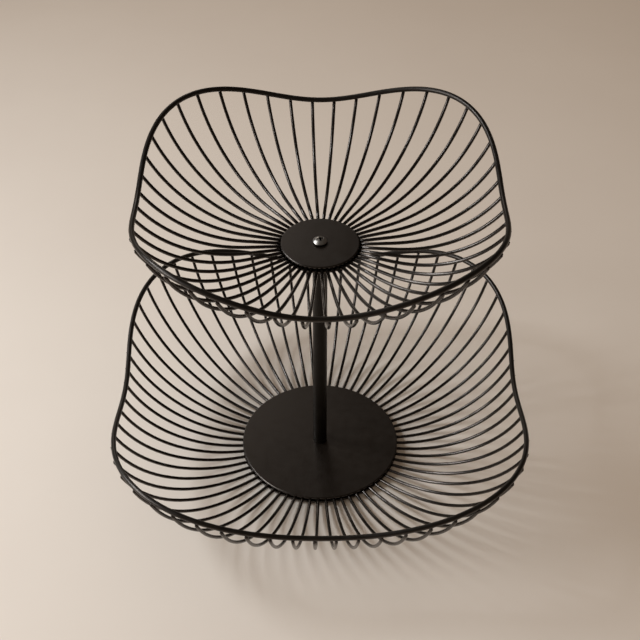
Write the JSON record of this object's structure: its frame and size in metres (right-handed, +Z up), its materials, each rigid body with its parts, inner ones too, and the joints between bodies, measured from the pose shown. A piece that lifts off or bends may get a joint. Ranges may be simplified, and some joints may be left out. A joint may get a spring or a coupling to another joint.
{
  "type": "tiered wire basket",
  "caption": "Tiered wire basket: a wide lower bowl and a smaller upper bowl of radiating wires with wavy square rims, joined by a centre post, in black.",
  "frame": {"origin": "centre of the footprint, on the table under the foot pads", "axes": "+Z up along the post, -Y towards the front, +X to the right as seen from the front"},
  "size_m": [0.2878, 0.2878, 0.25],
  "materials": {
    "black_coat": "satin",
    "dark_plated_steel": "polished",
    "black_rubber": "matte"
  },
  "bodies": {
    "root": {"lower_rim": "black_coat", "lower_wires_right": "black_coat", "lower_wires_back": "black_coat", "lower_wires_left": "black_coat", "lower_wires_front": "black_coat", "lower_backing_disc": "black_coat", "lower_tray_disc": "black_coat", "upper_rim": "black_coat", "upper_wires_right": "black_coat", "upper_wires_back": "black_coat", "upper_wires_left": "black_coat", "upper_wires_front": "black_coat", "upper_backing_disc": "black_coat", "upper_tray_disc": "black_coat", "post": "black_coat", "top_screw": "dark_plated_steel", "bottom_screw": "dark_plated_steel", "foot_pad_back_right": "black_rubber", "foot_pad_back_left": "black_rubber", "foot_pad_front_left": "black_rubber", "foot_pad_front_right": "black_rubber"}
  },
  "joints": []
}
